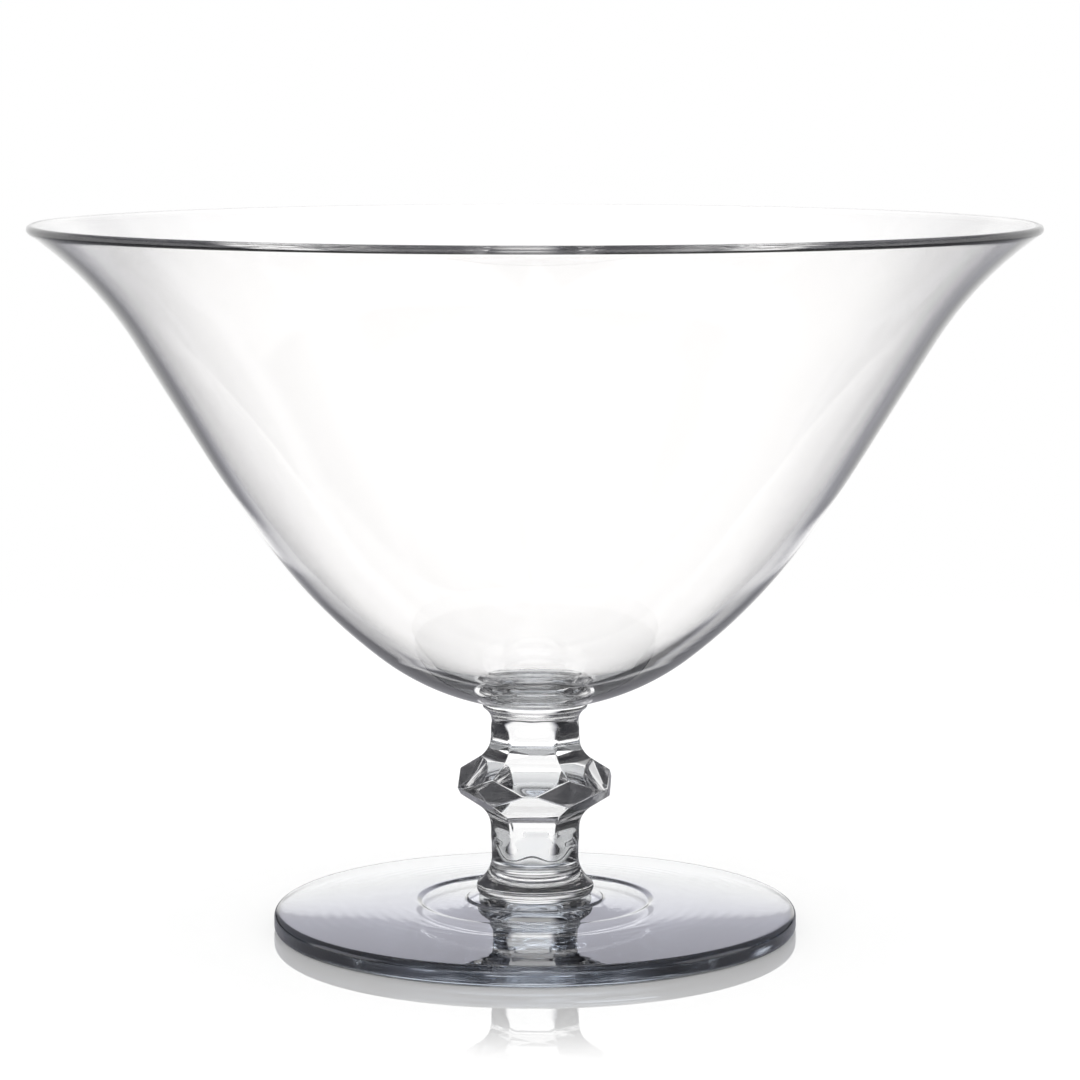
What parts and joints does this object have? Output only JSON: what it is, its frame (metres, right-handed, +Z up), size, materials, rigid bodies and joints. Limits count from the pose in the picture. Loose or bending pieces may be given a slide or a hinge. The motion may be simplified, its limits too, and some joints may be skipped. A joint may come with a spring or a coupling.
{
  "type": "trifle bowl",
  "caption": "Footed trifle bowl of clear glass: a deep bowl with a flared lip on a short stem with a six-sided cut knop and a round foot. It stands on its foot and holds layered desserts.",
  "frame": {"origin": "centre of the foot's standing ring, on the table plane", "axes": "+Z up along the axis of the glass; two opposite lozenges of the knop face +X and -X, and a point between two lozenges faces -Y"},
  "size_m": [0.25, 0.25, 0.1778],
  "materials": {
    "clear_glass": "fire-polished clear crystal glass, faintly grey where it is thick, with polished wheel-cut flats on the knop"
  },
  "bodies": {
    "root": {"bowl": "clear_glass", "stem": "clear_glass", "foot": "clear_glass"}
  },
  "joints": []
}
